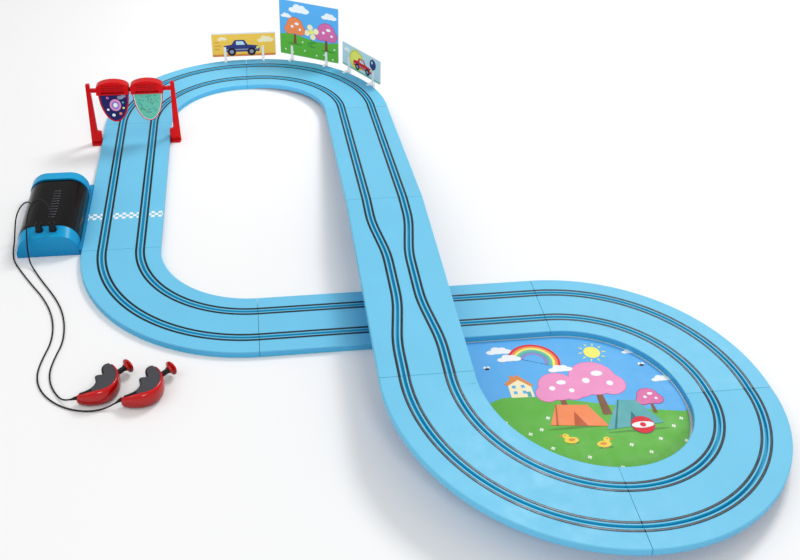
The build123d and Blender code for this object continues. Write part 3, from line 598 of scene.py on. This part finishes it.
def car(x, y, k, body, layer):
    """Side view of a plain little car, heading right, about 2k long."""
    hull = [
        (-1, 0), (1, 0), (1.02, 0.2), (0.9, 0.36), (0.35, 0.42), (0.16, 0.72), (-0.38, 0.72), (-0.56, 0.44),
        (-1, 0.38),
    ]
    window = [(-0.3, 0.42), (0.2, 0.42), (0.08, 0.64), (-0.3, 0.64)]
    wheels = [(ellipse(x + side * 0.56 * k, y, r * k), tone, layer + 2 + i)
              for side in (-1, 1) for i, (r, tone) in enumerate(((0.24, "dark"), (0.12, "grey")))]
    return [
        (turned(hull, 0, x, y, k), body, layer),
        (turned(window, 0, x, y, k), "pale", layer + 1),
        (turned(rect(-0.95, 0.1, 1.9, 0.07), 0, x, y, k), "grey", layer + 1),
        (ellipse(x + 0.9 * k, y + 0.24 * k, 0.07 * k), "sun", layer + 1),
    ] + wheels


def steps_apart(shapes):
    """A small step for each shape, so that no two that meet on one layer share a plane."""
    placed = []
    for outline, _, layer in shapes:
        xs, ys = zip(*outline)
        low_x, high_x, low_y, high_y = min(xs), max(xs), min(ys), max(ys)
        taken = {
            step for a, b, c, d, other, step in placed
            if other == layer and a <= high_x and b >= low_x and c <= high_y and d >= low_y
        }
        step = min(set(range(len(placed) + 1)) - taken)
        placed.append((low_x, high_x, low_y, high_y, layer, step))
    return [entry[-1] for entry in placed]


def printed(name, origin, across, up, shapes):
    """One mesh of thin printed plates, standing off the face in steps of one layer."""
    normal = across.cross(up)
    names = sorted({shape[1] for shape in shapes})
    steps = steps_apart(shapes)
    mesh = bpy.data.meshes.new(name)
    bm = bmesh.new()
    for (outline, tone, layer), step in zip(shapes, steps):
        height = LAYER * (layer + 1) + STAGGER * step
        low = [origin + (across * x + up * y) * MM for x, y in outline]
        high = [p + normal * height * MM for p in low]
        bottom = [bm.verts.new(p) for p in low]
        top = [bm.verts.new(p) for p in high]
        faces = [bm.faces.new(top), bm.faces.new(bottom[::-1])]
        for k in range(len(low)):
            j = (k + 1) % len(low)
            faces.append(bm.faces.new((bottom[k], bottom[j], top[j], top[k])))
        for face in faces:
            face.material_index = names.index(tone)
    bmesh.ops.recalc_face_normals(bm, faces=bm.faces)
    bm.to_mesh(mesh)
    bm.free()
    for tone in names:
        mesh.materials.append(INKS[tone])
    piece = bpy.data.objects.new(name, mesh)
    bpy.context.scene.collection.objects.link(piece)
    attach(piece, BASE)
    return piece


EAST, NORTH, UP = Vector((1, 0, 0)), Vector((0, 1, 0)), Vector((0, 0, 1))


# ---- floor print: meadow, house, blossom trees and tents --------------------------
PRINT_R = 116.2
SHEET_TOP = 0.5


def floor_print():
    hill = [
        (-116, 1), (-104, 6), (-92, 17), (-80, 22.5), (-64, 23), (-40, 20), (-16, 14.6), (12, 7), (45, -3),
        (80, -12), (112, -18),
    ]
    border = [turned([(PRINT_R, 0)], angle)[0] for angle in range(-8, -181, -4)]
    shapes = [(hill + border, "grass", 0)]
    shapes += [(ellipse(40, 85, 9.5), "sun", 2)]
    shapes += [(turned([(12, -1), (17, 0), (12, 1)], a, 40, 85), "sun", 2) for a in range(0, 360, 36)]
    shapes += cloud(83, 82, 0.55, 1) + cloud(104, 34, 0.7, 1) + cloud(-66, 98, 0.9, 1)
    arcs = ((30, "red"), (27, "orange"), (24, "sun"), (21, "mint"), (18, "teal"), (15, "violet"), (12, "sky"))
    for i, (radius, tone) in enumerate(arcs):
        shapes.append((turned(ellipse(0, 0, radius, start=0, turn=180), -24, -30, 76), tone, 1 + i))
    shapes += cloud(-57, 84, 0.85, 9) + cloud(-4, 61, 0.85, 9)
    # house on the hill
    shapes += [
        ([(-68, 22), (-43, 21), (-43, 40), (-55, 51), (-68, 45)], "cream", 2),
        ([(-72, 44), (-55, 57), (-40, 39), (-43, 37), (-55, 49), (-68, 41)], "roof", 3),
        (rect(-64, 47, 4.5, 9), "roof", 2),
    ]
    shapes += [(rect(x, y, 4, 4.5), "sky", 3) for x in (-64, -54) for y in (27, 36)]
    shapes += [(rect(-50, 21.4, 4.5, 8), "teal", 3)]
    # blossom trees, tents and a ball in the middle
    shapes += tree(-14, 22, 34, "pink", 3) + tree(28, 28, 42, "pink", 3) + tree(80, 2, 19, "rose", 3)
    shapes += [
        ([(20, -36), (84, -32), (64, 4), (44, 6)], "teal", 7),
        ([(46, -34), (60, -33), (54, -12)], "deep", 8),
        ([(44.6, 6), (46, 6), (31, -35.2), (28.4, -35.4)], "deep", 8),
        ([(-37, -23), (24, -31), (10, 2), (-24, 6)], "orange", 9),
        ([(-12, -26), (2, -28), (-7, -6)], "rust", 10),
        ([(-24.4, 6), (-23, 5.9), (-28.6, -24.1), (-31, -23.8)], "rust", 10),
        (ellipse(60, -33, 12.6), "plum", 9),
        (ellipse(60, -33, 12), "red", 10),
        (ellipse(60, -33, 12, 4.5), "white", 11),
        (ellipse(60, -33, 3.2), "red", 12),
    ]
    shadows = ((-8, -29, 34), (54, -40, 34), (-20, -50, 7), (12, -60, 8))
    shapes += [(ellipse(x, y, w, 1.6), "shadow", 1) for x, y, w in shadows]
    # two ducklings
    for x, y, face in ((-21, -46, -1), (11, -55, 1)):
        beak = [(face * a, b) for a, b in ((4, 6.2), (10, 7.2), (4.6, 8.8))]
        shapes += [
            (ellipse(x, y, 7.5, 4.4), "duck", 2), (ellipse(x + face * 4.6, y + 6, 3.6), "duck", 3),
            (turned(beak, 0, x + face * 3, y - 1), "roof", 3),
            (ellipse(x - face * 0.5, y + 0.5, 3.6, 1.8), "roof", 3),
            (ellipse(x + face * 5, y + 7, 0.6), "dark", 4),
            (rect(x - 2, y - 6.6, 0.9, 2.6), "roof", 2), (rect(x + 1.6, y - 6.6, 0.9, 2.6), "roof", 2),
        ]
    flowers = (
        (-61, -33), (-48, -28), (-43, -55), (-83, -14), (39, -59), (56, -71), (-9, -71), (92, -38),
        (-37, -12), (72, -54), (-70, -50), (20, -88), (-30, -92), (104, -28), (98, -60),
    )
    for x, y in flowers:
        shapes += flower(x, y, 1.5, 1)
    # two bees
    for x, y in ((-85, 70), (90, 58)):
        shapes += [(ellipse(x, y, 3, 1.6), "dark", 2)]
        shapes += [(ellipse(x + wing, y + 2.2, 1.6, 2.4), "white", 1) for wing in (-2, 2)]
    printed("floor_print", at(3 * R, -R, SHEET_TOP), EAST, NORTH, shapes)


floor_print()


# ---- billboards -------------------------------------------------------------------
BOARD_OFFSET = 219  # from the middle of the top curves to a board's printed face
# The direction each board stands in, its width, its height and how high its foot is.
BOARDS = {
    "billboard_west": (90.7, 108, 42, 12.5),
    "billboard_middle": (60.8, 109, 98, 17.99),
    "billboard_east": (31.5, 101, 41, 21.9),
}


def board_shapes():
    west = [(rect(-53.4, 0.6, 106.8, 40.8), "yellow", 0)]
    west += car(-4, 9, 30, "car", 1)
    west += [(rect(-50, 14 + 6 * i, 9 + 3 * (i % 2), 1.4), "roof", 1) for i in range(3)]
    west += cloud(37, 30, 0.85, 1, "cream") + cloud(-36, 33, 0.5, 1, "cream")
    west += [(rect(-53.4, 0.6, 106.8, 4.2), "roof", 1)]
    middle = [(rect(-53.9, 0.6, 107.8, 96.8), "sky", 0)]
    hill = [(-53.9, 0.6), (53.9, 0.6), (53.9, 37), (36, 33), (10, 32.5), (-20, 38), (-40, 39), (-53.9, 36)]
    middle += [(hill, "grass", 1)]
    middle += cloud(-18, 84, 1.15, 1) + cloud(37, 80, 0.85, 1)
    middle += cloud(-42, 70, 0.6, 1)
    middle += tree(-26, 46, 24, "orange", 3) + tree(32, 44, 25, "rose", 3)
    middle += [(rect(4.2, 22, 1.6, 22), "leaf", 3)]
    middle += [(ellipse(9, 30, 4.5, 2), "leaf", 4), (ellipse(1, 27, 4.5, 2), "leaf", 4)]
    middle += flower(5, 48, 8.5, 5, "cream")
    shadows = ((-26, 21.5, 14), (5, 21.5, 8), (36, 18.5, 14))
    middle += [(ellipse(x, y, w, 1.3), "shadow", 2) for x, y, w in shadows]
    for x, y in ((-44, 9), (-30, 6), (-8, 12), (14, 7), (28, 11), (44, 5), (47, 24), (-12, 27)):
        middle += flower(x, y, 1.1, 2)
    east = [(rect(-49.9, 0.6, 99.8, 39.8), "pale", 0)]
    east += [(ellipse(-12, 20, 19, 18), "lime", 1), (ellipse(-12, 20, 15.5, 14.5), "sun", 2)]
    east += car(4, 9.5, 24, "red", 3)
    string = [(-0.5, 0), (0.5, 0), (0.5, -9), (-0.5, -9)]
    east += [(ellipse(31, 28, 8, 9), "car", 3), (turned(string, 0, 31, 19), "dark", 2)]
    east += [(ellipse(29, 31, 2, 2.6), "pale", 4), (rect(-49.9, 0.6, 99.8, 3), "mint", 1)]
    east += cloud(-38, 30, 0.5, 1)
    return {"billboard_west": west, "billboard_middle": middle, "billboard_east": east}


for board_name, board_art in board_shapes().items():
    angle, width, height, bottom = BOARDS[board_name]
    out = Vector((math.cos(math.radians(angle)), math.sin(math.radians(angle)), 0))
    face = at(R, 3 * R, bottom) + out * BOARD_OFFSET * MM
    printed(board_name + "_print", face, Vector((out.y, -out.x, 0)), UP, board_art)


# ---- start line and gate panels ----------------------------------------------------
DECK_TOP = 8.0
START_Y = 237
DECK_EDGE = 48.2
LANE_OUTSIDE, LANE_INSIDE = 30.4, 16.4  # a lane's two borders, from the middle of the deck
PANEL_X, PANEL_Y, PANEL_TOP = 24, 448.5, 86
PANEL_W, PANEL_H = 21.5, 46


def start_line():
    """Three rows of white checks across the deck, left open at the lanes."""
    shapes = []
    side = 4.7
    columns = math.ceil(DECK_EDGE / side)
    strips = ((-DECK_EDGE, -LANE_OUTSIDE), (-LANE_INSIDE, LANE_INSIDE), (LANE_OUTSIDE, DECK_EDGE))
    for i in range(-columns, columns):
        for first, last in strips:
            low, high = max(first, i * side), min(last, (i + 1) * side)
            if high - low > 1.2:
                rows = [row for row in range(3) if (i + row) % 2]
                shapes += [(rect(low, row * side, high - low, side), "white", 0) for row in rows]
    printed("start_line_print", at(0, START_Y, DECK_TOP), EAST, NORTH, shapes)


def half_round(inset):
    """Lower half of an ellipse, as the gate panels are cut, less a border."""
    return ellipse(0, 0, PANEL_W - inset, PANEL_H - inset, start=180, turn=180, n=60)


def gate_panels():
    left = [
        (half_round(2.2), "navy", 0),
        (ellipse(1, -19, 8, 9.5), "pink", 1), (ellipse(1, -19, 5.4, 6.4), "violet", 2),
        (ellipse(1, -19, 3, 3.6), "white", 3),
        (ellipse(9, -7, 4.5, 3), "grey", 1), (ellipse(13.5, -5, 3.5, 2.4), "grey", 1),
        (ellipse(-9, -7, 2), "rose", 1), (ellipse(12, -24, 1.6), "sun", 1),
        (ellipse(-3, -35, 2.4), "white", 1), (ellipse(7, -33, 2.2), "orange", 1),
        (ellipse(-10, -26, 1.8), "white", 1), (ellipse(12, -15, 1.4), "mint", 1),
    ]
    random.seed(7)
    right = [(half_round(1.4), "white", 0), (half_round(2.2), "mint", 1)]
    for _ in range(90):
        x, y = random.uniform(-15, 15), random.uniform(-33, -5)
        if (x / 17) ** 2 + (y / 38) ** 2 < 1:
            blob = ellipse(x, y, random.uniform(0.6, 1.7), random.uniform(0.5, 1.2), n=10)
            right.append((blob, random.choice(("aqua", "teal", "aqua", "grey", "leaf")), 2))
    for x, name, art in ((-PANEL_X, "gate_print_left", left), (PANEL_X, "gate_print_right", right)):
        printed(name, at(x, PANEL_Y, PANEL_TOP), EAST, UP, art)


start_line()
gate_panels()


paint_nodes()


# ---- stage ----------------------------------------------------------------------
def make_floor():
    mesh = bpy.data.meshes.new("floor")
    mesh.from_pydata([(-6, -6, 0), (6, -6, 0), (6, 6, 0), (-6, 6, 0)], [], [(0, 1, 2, 3)])
    floor = bpy.data.objects.new("floor", mesh)
    floor.location.z = -0.2 * MM
    material, nodes, links, shader = new_material("pale_floor")
    shader.inputs["Base Color"].default_value = (0.96, 0.96, 0.96, 1)
    shader.inputs["Roughness"].default_value = 0.7
    mesh.materials.append(material)
    bpy.context.scene.collection.objects.link(floor)


def make_world():
    world = bpy.data.worlds.new("studio")
    world.use_nodes = True
    world.node_tree.nodes["Background"].inputs["Color"].default_value = (1, 1, 1, 1)
    world.node_tree.nodes["Background"].inputs["Strength"].default_value = 0.55
    bpy.context.scene.world = world
    bpy.context.scene.view_settings.view_transform = "Standard"


def add_lamp(name, kind, place, target, energy):
    data = bpy.data.lights.new(name, kind)
    data.energy = energy
    lamp = bpy.data.objects.new(name, data)
    lamp.location = place
    lamp.rotation_euler = (Vector(target) - Vector(place)).to_track_quat("-Z", "Y").to_euler()
    bpy.context.scene.collection.objects.link(lamp)
    return data


def make_lights():
    """Soft key from the back right, weak fill and front, and a narrow spot on the billboards."""
    middle = (0, 0, 0)
    add_lamp("key", "AREA", (1.2, 1.3, 2.2), middle, 33).size = 0.8
    add_lamp("fill", "AREA", (-1.6, -0.6, 1.9), middle, 8).size = 1.8
    add_lamp("front", "AREA", (0.3, -2.2, 1.6), middle, 11).size = 0.5
    boards = add_lamp("boards", "SPOT", (-0.25, -1.0, 0.8), (-0.13, 0.56, 0.07), 30)
    boards.spot_size, boards.spot_blend = math.radians(22), 0.9
    boards.shadow_soft_size = 0.15


make_floor()
make_world()
make_lights()
